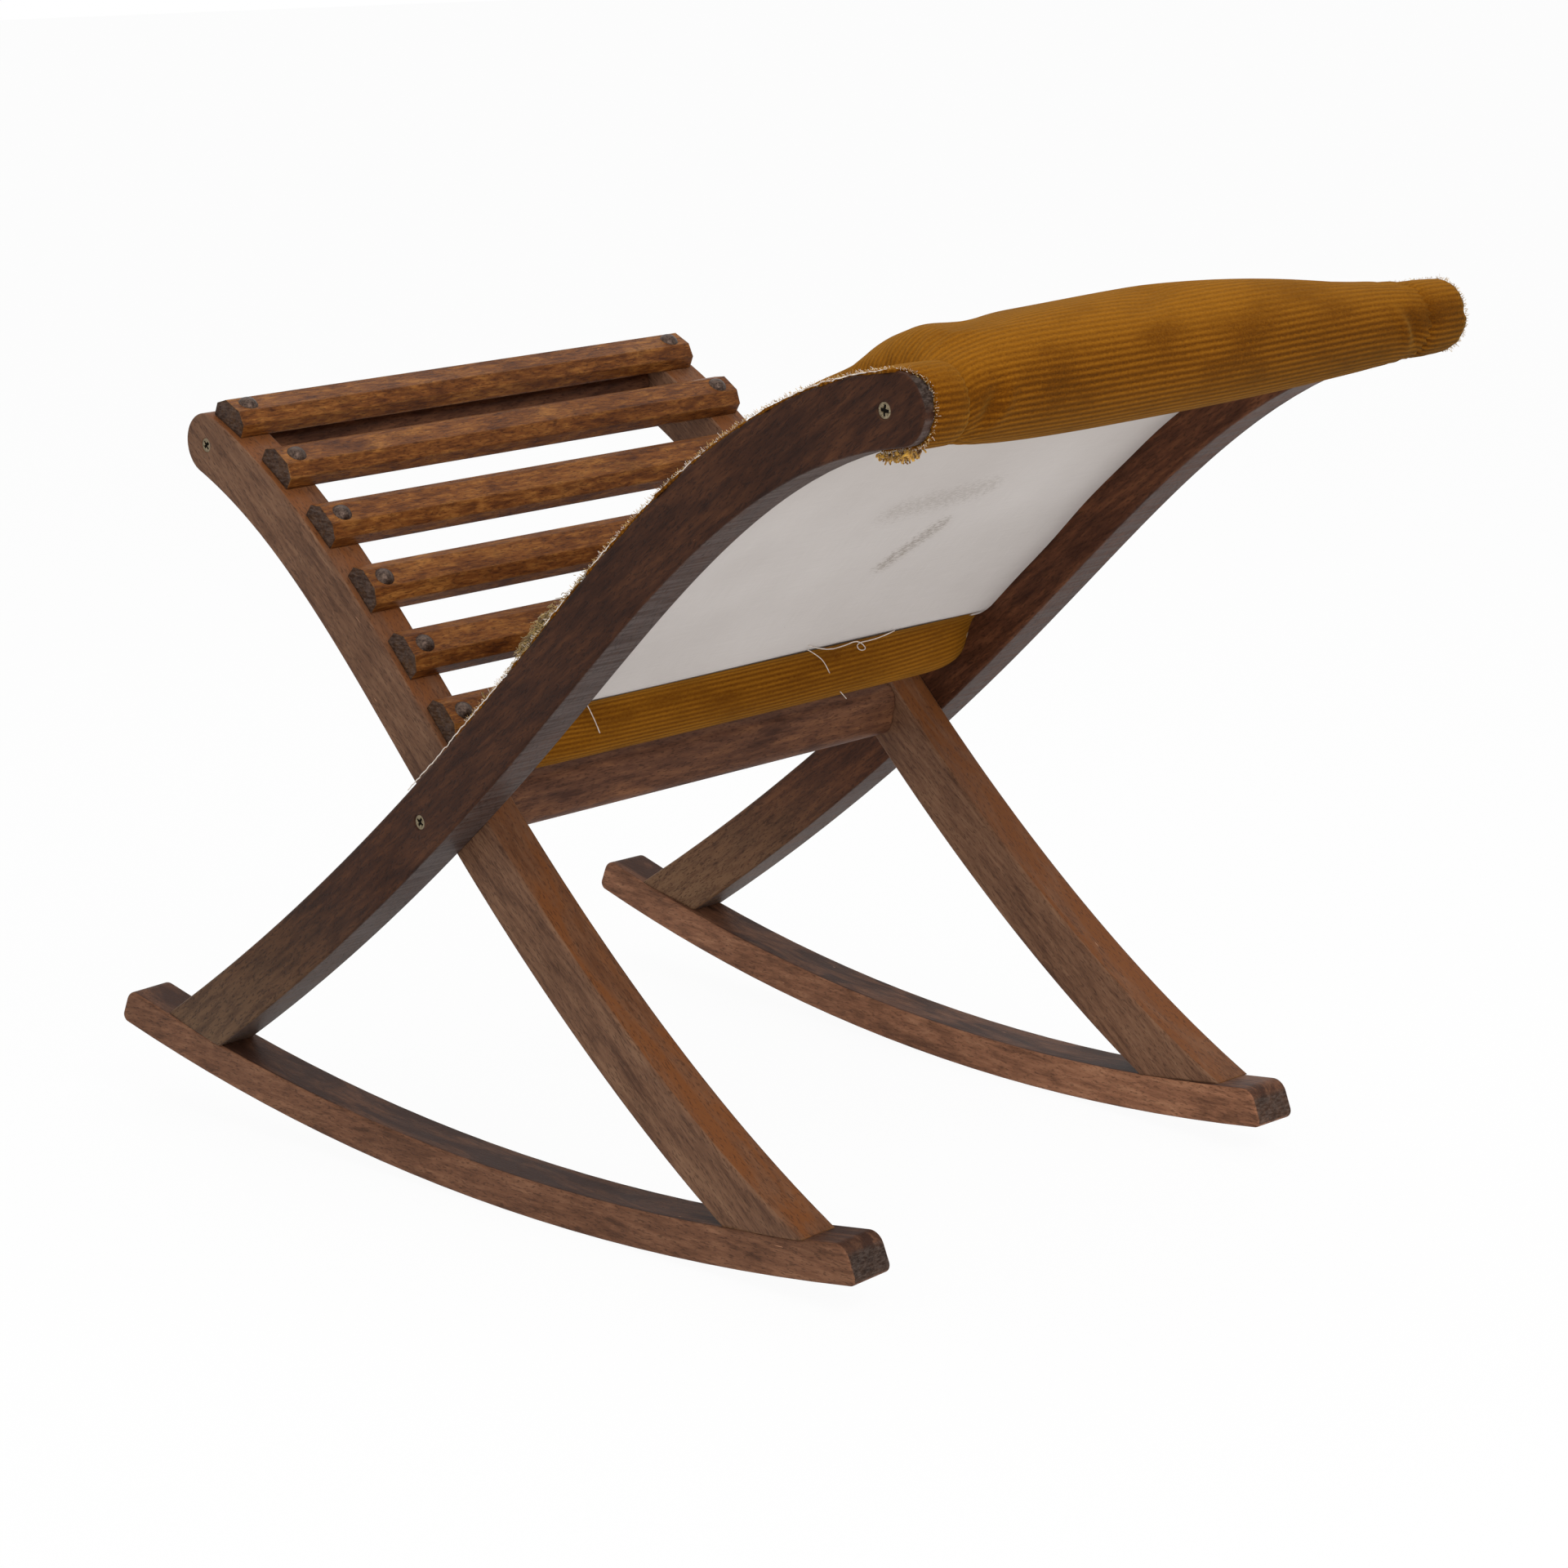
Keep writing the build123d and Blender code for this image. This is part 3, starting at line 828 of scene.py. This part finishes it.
WADDING = speckled(
    "wadding", (260.0, 4.0, 0.7), [(0.3, (0.42, 0.36, 0.27)), (0.7, (0.62, 0.56, 0.46))],
    (0.85, 0.1), (0.002, 0.8), Sheen_Weight=0.2,
)
OCHRE_THREAD = thread("ochre_thread", (0.24, 0.11, 0.012), (0.62, 0.40, 0.12))
GOLD_THREAD = thread("gold_thread", (0.16, 0.060, 0.004), (0.66, 0.36, 0.04))
OLIVE_THREAD = thread("olive_thread", (0.13, 0.075, 0.012), (0.42, 0.27, 0.07))
PALE_THREAD = thread("pale_thread", (0.56, 0.46, 0.38), (0.80, 0.71, 0.63))


# ---- camera, light, floor

def make_camera():
    camera = bpy.data.objects.new("camera", bpy.data.cameras.new("camera"))
    camera.data.lens = CAMERA_LENS
    camera.data.sensor_width = CAMERA_SENSOR
    camera.data.clip_end = CAMERA_FAR
    right = roll.to_3x3() @ Vector(CAMERA_RIGHT)
    up = roll.to_3x3() @ Vector(CAMERA_UP)
    facing = Matrix((right, up, right.cross(up))).transposed().to_4x4()
    camera.matrix_world = Matrix.Translation(placed(CAMERA_AT)) @ facing
    scene.collection.objects.link(camera)
    scene.camera = camera


def make_lamp(name, place, aim, size, watts):
    lamp = bpy.data.objects.new(name, bpy.data.lights.new(name, "AREA"))
    lamp.data.size = size
    lamp.data.energy = watts
    lamp.location = place
    lamp.rotation_euler = (Vector(aim) - Vector(place)).to_track_quat("-Z", "Y").to_euler()
    scene.collection.objects.link(lamp)


def white_for_camera(tree, plain, white, share, output):
    """Shows white in place of plain to the camera, and in gloss and through glass."""
    path = tree.nodes.new("ShaderNodeLightPath")
    seen = path.outputs["Is Camera Ray"]
    for name in ("Is Glossy Ray", "Is Transmission Ray"):
        either = tree.nodes.new("ShaderNodeMath")
        either.operation = "MAXIMUM"
        tree.links.new(seen, either.inputs[0])
        tree.links.new(path.outputs[name], either.inputs[1])
        seen = either.outputs[0]
    factor = tree.nodes.new("ShaderNodeMath")
    factor.operation = "MULTIPLY"
    factor.inputs[1].default_value = share
    tree.links.new(seen, factor.inputs[0])
    mixed = tree.nodes.new("ShaderNodeMixShader")
    for number, source in enumerate((factor, plain, white)):
        tree.links.new(source.outputs[0], mixed.inputs[number])
    tree.links.new(mixed.outputs[0], output.inputs["Surface"])


def make_world():
    """Soft light from all round, seen as plain white."""
    world = bpy.data.worlds.new("studio")
    scene.world = world
    world.use_nodes = True
    tree = world.node_tree
    soft = tree.nodes["Background"]
    bright = tree.nodes.new("ShaderNodeBackground")
    for background in (soft, bright):
        background.inputs["Color"].default_value = (1, 1, 1, 1)
    soft.inputs["Strength"].default_value = SKY_STRENGTH
    white_for_camera(tree, soft, bright, 1.0, tree.nodes["World Output"])


def make_floor():
    """A white floor that keeps a little of the stool's shadow."""
    low, high = -FLOOR_HALF, FLOOR_HALF
    corners = [(low, low), (high, low), (high, high), (low, high)]
    mesh = bpy.data.meshes.new("floor")
    mesh.from_pydata([(x, y, -FLOOR_BELOW) for x, y in corners], [], [(0, 1, 2, 3)])
    floor = bpy.data.objects.new("floor", mesh)
    scene.collection.objects.link(floor)
    paper = Finish("white_paper", Roughness=0.9)
    grain = paper.noise(paper.place(), 400.0)
    paper.feed(Base_Color=paper.ramp(grain, [(0.3, (0.86, 0.86, 0.86)), (0.7, (0.9, 0.9, 0.9))]))
    glow = paper.tree.nodes.new("ShaderNodeEmission")
    white_for_camera(paper.tree, paper.shader, glow, FLOOR_WHITE, paper.tree.nodes["Material Output"])
    mesh.materials.append(paper.material)


# ---- upholstery

def across_shares():
    """Stations from leg to leg, closer together near the legs."""
    even = np.linspace(-1, 1, CLOTH_COLUMNS + 1)
    return EVEN_SHARE * even + CROWDED_SHARE * np.sin(even * math.pi / 2)


def pad_grid(slack, inset, half_width):
    """Points of the closed pad, rows around it and columns across."""
    columns = []
    for share in across_shares():
        velvet_line, lining_line = pad_outline(share, slack, inset)
        loop = np.concatenate([velvet_line, lining_line[1:-1]])
        y = np.full(len(loop), share * half_width)
        columns.append(np.stack([loop[:, 0], y, loop[:, 1]], axis=1))
    return np.stack(columns, axis=1)


def closed_pad(name, grid):
    """A closed mesh of the pad, with a flat cap against each leg."""
    rows, columns = grid.shape[:2]
    faces = quads(rows, columns, around=True)
    faces.append([r * columns for r in reversed(range(rows))])
    faces.append([r * columns + columns - 1 for r in range(rows)])
    return new_piece(name, placed(grid.reshape(-1, 3)), faces)


def air_filled(piece, held):
    """The piece's points after air has pressed it outward, with the held points fixed."""
    before = vertex_vectors(piece, "co")
    group = piece.vertex_groups.new(name="held")
    group.add([int(i) for i in held], 1.0, "REPLACE")
    cloth = piece.modifiers.new("air", "CLOTH").settings
    cloth.quality = 4
    cloth.vertex_group_mass = "held"
    cloth.use_pressure = True
    cloth.uniform_pressure_force = AIR_PRESSURE
    cloth.effector_weights.gravity = 0.0
    cloth.bending_stiffness = VELVET_STIFFNESS
    for number in range(1, AIR_FRAMES + 1):
        scene.frame_set(number)
    shown = piece.evaluated_get(bpy.context.evaluated_depsgraph_get())
    move = vertex_vectors(shown, "co") - before
    piece.modifiers.clear()
    scene.frame_set(1)
    distance = np.linalg.norm(move, axis=1, keepdims=True)
    move *= np.minimum(1.0, AIR_REACH * METRES / np.maximum(distance, 1e-9))
    return before + move


def pressed_out(grid):
    """Points of the closed pad in metres, after air has filled its velvet side."""
    rows, columns = grid.shape[:2]
    number = np.arange(rows * columns).reshape(rows, columns)
    held = np.concatenate([number[VELVET_ROWS - 1:].ravel(), number[0], number[:, 0], number[:, -1]])
    body = closed_pad("air_body", grid)
    points = air_filled(body, np.unique(held))
    bpy.data.objects.remove(body)
    return points


def gathered(piece):
    """Raises gathers round the tips of the legs, and a crease between each tip and the roll."""
    points = vertex_vectors(piece, "co")
    x, z = pad_line.place(0)
    away = points - placed([(x, 0, z)])[0]
    angle = np.arctan2(away[:, 2], away[:, 0])
    distance = np.hypot(away[:, 0], away[:, 2]) * MILLIMETRES
    inward = PAD_LEG_IN - np.abs(points[:, 1]) * MILLIMETRES
    near_tip = np.clip(1 - distance / TIP_REACH, 0, 1) ** 0.5

    wave = np.sin(angle * GATHERS_IN_TURN + 0.8 * np.sin(angle * 5) + inward * 0.05)
    gather = GATHER_HEIGHT * wave * np.exp(-inward / GATHER_REACH) * np.minimum(1, inward / 2.5)

    facing = np.exp(-((angle - CREASE_ANGLE) / 0.5) ** 2)
    beside = inward - (CREASE_INWARD + CREASE_TILT * angle)
    fold = 0.5 * np.exp(-((beside - FOLD_INWARD) / FOLD_WIDTH) ** 2)
    crease = CREASE_DEPTH * (fold - np.exp(-(beside / CREASE_WIDTH) ** 2))

    lift = gather * near_tip + crease * facing * np.minimum(1, near_tip * 4)
    moved = points + vertex_vectors(piece, "normal") * lift[:, None] * METRES
    piece.data.vertices.foreach_set("co", moved.ravel())
    piece.data.update()


def make_cover():
    """The velvet over the pad, the roll and the low rail."""
    grid = pad_grid(AIR_START_FLAT, 0.0, PAD_LEG_IN)
    points = pressed_out(grid)
    kept = points.reshape(grid.shape)[:VELVET_ROWS]
    columns = grid.shape[1]
    run = running_length(kept[:, columns // 2] * MILLIMETRES)
    cloth = cloth_places(run, across_shares() * PAD_LEG_IN)
    piece = new_piece("velvet_cover_pad", kept.reshape(-1, 3), quads(VELVET_ROWS, columns), cloth)
    smoother = piece.modifiers.new("finer", "SUBSURF")
    smoother.levels = smoother.render_levels = 1
    smoother.boundary_smooth = "PRESERVE_CORNERS"
    baked(piece)
    gathered(piece)
    dressed(piece, VELVET, "velvet", "velvet_cover")


def leg_rim(side):
    """Stations along a pad leg's upper edge, round its tip and back below it.

    Each has its place, the direction out of the wood and how far round the tip it is."""
    stations = []

    def add(back, surface, above, round_tip):
        """surface and above are places beside the leg's line, a millimetre apart."""
        inner, outer = pad_line.place(back, *surface), pad_line.place(back, *above)
        stations.append((inner, outer - inner, round_tip))

    for back in np.linspace(*STRIP_BACK, STRIP_STATIONS):
        add(back, (0, HALF_DEPTH), (0, HALF_DEPTH + 1), 0.0)
    for angle in TIP_ANGLES:
        turn = math.radians(angle)
        surface, above = (
            ((reach + TIP_LENGTH - HALF_DEPTH) * math.cos(turn), reach * math.sin(turn))
            for reach in (HALF_DEPTH, HALF_DEPTH + 1)
        )
        add(0, surface, above, min(1.0, (TIP_ANGLES[0] - angle) / 50))
    for back in np.linspace(STRIP_BACK[1], UNDER_TIP_BACK[side], UNDER_TIP_STATIONS):
        add(back, (0, -HALF_DEPTH), (0, -HALF_DEPTH - 1), 1.0)
    return stations


def short_of_face(side, round_tip):
    """How far inside the leg's outer face the velvet stops."""
    return TIP_VELVET_SHORT * round_tip if side < 0 else 0.0


def make_strips():
    """Velvet carried over the upper edges and round the tips of the pad legs, cut raggedly."""
    rng = np.random.default_rng(4)
    shares, rise = np.array(STRIP_SECTION).T
    outer_edge = np.linspace(0, 1, len(shares)) ** 4
    for hand, side in SIDES.items():
        rim = leg_rim(side)
        ragged = np.convolve(rng.normal(0, 1.0, len(rim) + 4), [0.3, 0.4, 0.3, 0.2, 0.2], "valid")
        rows = []
        for (base, outward, round_tip), tear in zip(rim, ragged):
            lift = rise + rng.normal(0, 0.06, len(rise)) + STRIP_TIP_SWELL * round_tip * (rise > 0)
            flat = base + outward * lift[:, None]
            width = LEG_THICK - short_of_face(side, round_tip)
            y = side * (PAD_LEG_IN + shares * width + outer_edge * (tear - 0.6))
            rows.append(np.stack([flat[:, 0], y, flat[:, 1]], axis=1))
        grid = np.array(rows)
        cloth = cloth_places(running_length(grid[:, 2]), shares * LEG_THICK)
        faces = quads(len(rim), len(shares))
        if side < 0:
            faces = [tuple(reversed(face)) for face in faces]
        piece = new_piece(f"velvet_edge_{hand}", placed(grid.reshape(-1, 3)), faces, cloth)
        body = piece.modifiers.new("thickness", "SOLIDIFY")
        body.thickness = STRIP_THICK * METRES
        body.offset = -1
        baked(piece)
        dressed(piece, VELVET, "velvet", "velvet_cover")


def make_lining():
    """The cotton sheet below the pad: drawn tight between the legs, hollow in the middle."""
    first, last = LINING_BACK
    backs = np.linspace(first - LINING_TURN_IN, last + LINING_TURN_IN, LINING_GRID)
    shares = np.linspace(-1, 1, LINING_GRID)
    side_phase, long_phase = np.random.default_rng(9).uniform(0, 6.28, 2)
    under = HALF_DEPTH - LINING_DROP - COVER + LINING_LIFT
    points = []
    for back in backs:
        for share in shares:
            hollow = LINING_HOLLOW * (1 - share ** 2) * math.sin(math.pi * (back - first) / (last - first))
            crease = 0.35 * math.sin(share * 9 + back * 0.03 + side_phase) * abs(share) ** 3
            crease += 0.25 * math.sin(back * 0.09 + share * 4 + long_phase)
            tuck = LINING_TUCK * max(0.0, back - last + 1, first + 1 - back)
            x, z = pad_line.place(back, 0, under + hollow + crease + tuck)
            points.append((x, share * (PAD_LEG_IN - LINING_SIDE_GAP), z))
    cloth = cloth_places(backs, shares * PAD_LEG_IN)
    piece = new_piece("cotton_lining_sheet", placed(points), quads(LINING_GRID, LINING_GRID), cloth)
    dressed(piece, COTTON, "cotton", "lining")


def make_wadding():
    """The stuffing inside the velvet."""
    grid = pad_grid(WADDING_FLAT, WADDING_INSET, PAD_LEG_IN - WADDING_SIDE_GAP)
    piece = closed_pad("pad_wadding", grid)
    dressed(piece, WADDING, "wadding", "pad_filling")


# ---- screws

def head_rise(radius, x, y):
    """The form of a head at (x, y): its height, and how much of the cross is pressed there."""
    narrow, far = sorted((abs(x), abs(y)))
    cross = np.clip((CROSS_WIDTH / 2 + 0.15 - narrow) / 0.25, 0, 1)
    cross *= np.clip((CROSS_REACH - far) / 0.3, 0, 1)
    dome = HEAD_DOME * (1 - (radius / HEAD_RADIUS) ** 2)
    return dome - CROSS_DEPTH * cross * (1 - 0.45 * far / CROSS_REACH), cross


def screw_points(length, turn):
    """A countersunk screw whose head lies in the XY plane, and each point's cross and depth."""
    shank = SCREW_SHANK / 2
    rings = [(radius, 0.0) for radius in np.linspace(0, HEAD_RADIUS, HEAD_RINGS)]
    rings += [(HEAD_RADIUS, HEAD_RIM), (shank, SCREW_SINK - HEAD_RECESS)]
    rings += [(shank, length - SCREW_POINT), (0.2, length - 1)]
    points, pressed = [], []
    for number, (radius, depth) in enumerate(rings):
        for s in range(SCREW_SEGMENTS):
            angle = 2 * math.pi * s / SCREW_SEGMENTS
            rise, cross = 0.0, 0.0
            if number < HEAD_RINGS:
                rise, cross = head_rise(radius, radius * math.cos(angle), radius * math.sin(angle))
            spin = turn + angle
            points.append((radius * math.cos(spin), radius * math.sin(spin), -depth - HEAD_RECESS + rise))
            pressed.append((cross, depth))
    return points, pressed


def make_screws(name, centre, y, length, turns):
    """A screw in each side, with its head outward; turns are the ways their crosses point."""
    vertices, faces, crosses = [], [], []
    for side, turn in zip(SIDES.values(), turns):
        first = len(vertices)
        points, pressed = screw_points(length, turn)
        crosses += pressed
        for px, py, pz in points:
            vertices.append((centre[0] + px * side, side * (y + pz), centre[1] + py))
        for ring in range(first, len(vertices) - SCREW_SEGMENTS, SCREW_SEGMENTS):
            for s in range(SCREW_SEGMENTS):
                a, b = ring + s, ring + (s + 1) % SCREW_SEGMENTS
                faces.append((a, b, b + SCREW_SEGMENTS, a + SCREW_SEGMENTS))
    piece = new_piece(f"{name}_heads", placed(vertices), faces, crosses)
    dressed(piece, BRASS, "old_brass", name)


# ---- frayed edges and threads

def wild(rng, size):
    return rng.normal(0, size, 3)


def make_fray():
    """Cut pile standing out along the velvet's raw edges."""
    rng = np.random.default_rng(21)
    fibres, pale = [], []
    for side in SIDES.values():
        for base, outward, round_tip in leg_rim(side):
            edge = PAD_LEG_OUT - short_of_face(side, round_tip)
            for _ in range(FIBRES_PER_STATION):
                start = base + outward * rng.uniform(0.2, 1.3)
                root = np.array([start[0], side * (edge + rng.uniform(-1.4, 0.2)), start[1]])
                lean = np.array([outward[0], side * 0.6, outward[1]]) * 0.7 + wild(rng, 0.5)
                length = rng.uniform(0.5, 1.3)
                line = [root, root + lean * length * 0.5, root + lean * length + wild(rng, 0.15)]
                (pale if rng.random() < PALE_FIBRES else fibres).append(placed(line))
    threads("velvet_fray", fibres, 0.10, OCHRE_THREAD, "velvet")
    threads("velvet_fray_pale", pale, 0.09, PALE_THREAD, "velvet")


def curl(rng, root, way, length, unrest, parts=5):
    """A thread that wanders from its root."""
    line = [np.array(root, float)]
    for _ in range(parts):
        line.append(line[-1] + np.array(way) * length / parts + wild(rng, length * unrest))
    return placed(line)


def tip_fibre(rng):
    """A fibre of the tuft under the near tip."""
    turn = rng.uniform(0, math.pi)
    y = -PAD_LEG_OUT + 9 + rng.uniform(-3, 6)
    below = -HALF_DEPTH - 1.5 - 4.0 * math.sin(turn) * rng.random()
    x, z = pad_line.place(13 - 10 * math.cos(turn), 0, below)
    return curl(rng, (x, y, z), (0, 0, -1), 1.5, 0.35, 3)


def pulled_yarns(rng, back):
    """A long and a short yarn pulled out beside the near leg."""
    x, z = pad_line.place(back, 0, HALF_DEPTH + rng.uniform(1, 7))
    root = (x, -PAD_LEG_IN + rng.uniform(-6, 7), z)
    long = curl(rng, root, (-0.75, 0.25, 0.15), rng.uniform(8, 14), 0.10)
    return [long, curl(rng, root, (-0.3, -0.2, 0.4), rng.uniform(3, 6), 0.16)]


def worn_fibre(rng, back, heights, insides, across, lift, lengths, unrest, parts):
    """A fibre that lies down the near leg's upper edge, turned away from it by across and lift.

    heights are above the wood, insides from its outer face."""
    x, z = pad_line.place(back, 0, HALF_DEPTH + rng.uniform(*heights))
    root = (x, -PAD_LEG_OUT + rng.uniform(*insides), z)
    down = (pad_line.place(280) - pad_line.place(260)) / 20
    return curl(rng, root, (down[0], across, down[1] + lift), rng.uniform(*lengths), unrest, parts)


def make_tufts():
    """Worn pile: under the near tip, and along the near leg's upper edge."""
    rng = np.random.default_rng(33)
    tip, yarn, fuzz = [], [], []
    for _ in range(TIP_FIBRES):
        tip.append(tip_fibre(rng))
    for back in np.linspace(*PULLED_YARN_BACK, PULLED_YARNS):
        yarn += pulled_yarns(rng, back)
    for _ in range(MATTED_YARNS):
        back = rng.normal(*MATTED_YARN_BACK)
        yarn.append(worn_fibre(rng, back, (0.5, 4.6), (1.5, 8), 0.1, 0.12, (3, 8), 0.07, 5))
    for _ in range(MATTED_FIBRES):
        back = rng.normal(*MATTED_FIBRE_BACK)
        fuzz.append(worn_fibre(rng, back, (0, 5.5), (1, 7), 0, 0.15, (1.5, 3.5), 0.18, 3))
    for _ in range(WORN_FIBRES):
        back = rng.choice(WORN_SPOTS) + rng.normal(0, 5)
        fuzz.append(worn_fibre(rng, back, (0, 2), (1, 4), 0, 0.2, (1, 2.5), 0.2, 3))
    threads("velvet_tip_tuft", tip, 0.42, GOLD_THREAD, "velvet")
    threads("velvet_yarn", yarn, 0.50, OLIVE_THREAD, "velvet")
    threads("velvet_fuzz", fuzz, 0.14, OLIVE_THREAD, "velvet")


def rail_front(y, up):
    """A point just in front of the velvet on the low rail."""
    ahead = LOW_RAIL_SECTION[1] / 2 + WRAP_PADDING + COVER + 1.2
    x, z = low_rail_centre() + turned(up, -ahead, LOW_RAIL_LEAN)
    return x, y, z


def make_loose_threads():
    """Sewing threads hanging from the lining's lower seam."""
    hanging = [placed([rail_front(y, up) for y, up in line]) for line in LOOSE_THREADS]
    threads("loose_threads", hanging, THREAD_RADIUS, PALE_THREAD, "cotton")


def make_cut_edge():
    """The velvet's cut edge where it is bare along the near leg."""
    rng = np.random.default_rng(5)
    edges = []
    for first, last in CUT_EDGE_BACKS:
        line = []
        for back in np.arange(first, last, -2.0):
            x, z = pad_line.place(back, 0, HALF_DEPTH + 0.5 + rng.normal(0, 0.25))
            line.append((x, -PAD_LEG_OUT + 0.2 + rng.normal(0, 0.2), z))
        edges.append(placed(line))
    threads("velvet_cut_edge", edges, THREAD_RADIUS, PALE_THREAD, "velvet")


# ---- build

def stain_kept_nodes():
    """Finishes for the nodes that keep their CAD form."""
    finishes = {"stretcher": RAIL_WOOD, "slat_rail": RAIL_WOOD, "slat_nails": BRONZE}
    for name in ("pad_top_rail", "pad_low_rail", "dowels"):
        finishes[name] = PLAIN_WOOD
    for number in range(1, SLAT_COUNT + 1):
        finishes[f"slat_{number}"] = SLAT_WOOD
    pairs = {"pad_leg": PAD_LEG_WOOD, "slat_leg": SLAT_LEG_WOOD, "rocker": ROCKER_WOOD}
    for part, pair in pairs.items():
        for hand in SIDES:
            finishes[f"{part}_{hand}"] = pair[hand]
    for name, finish in finishes.items():
        nodes[name].material_slots[0].material = finish.material


make_camera()
make_world()
make_floor()
for name, settings in LAMPS.items():
    make_lamp(name, *settings)
scene.view_settings.view_transform = "Standard"

stain_kept_nodes()
make_cover()
make_strips()
make_lining()
make_wadding()
make_screws("crossing_screws", CROSSING, PAD_LEG_OUT, CROSSING_SCREW_LENGTH, (0.5, 1.1))
slat_rail, top_rail = slat_line.place(SLAT_RAIL_BACK), pad_line.place(TOP_RAIL_BACK)
make_screws("slat_rail_screws", slat_rail, SLAT_LEG_OUT, RAIL_SCREW_LENGTH, (0.9, 0.2))
make_screws("pad_rail_screws", top_rail, PAD_LEG_OUT, RAIL_SCREW_LENGTH, (0.1, 0.7))
make_fray()
make_tufts()
make_loose_threads()
make_cut_edge()
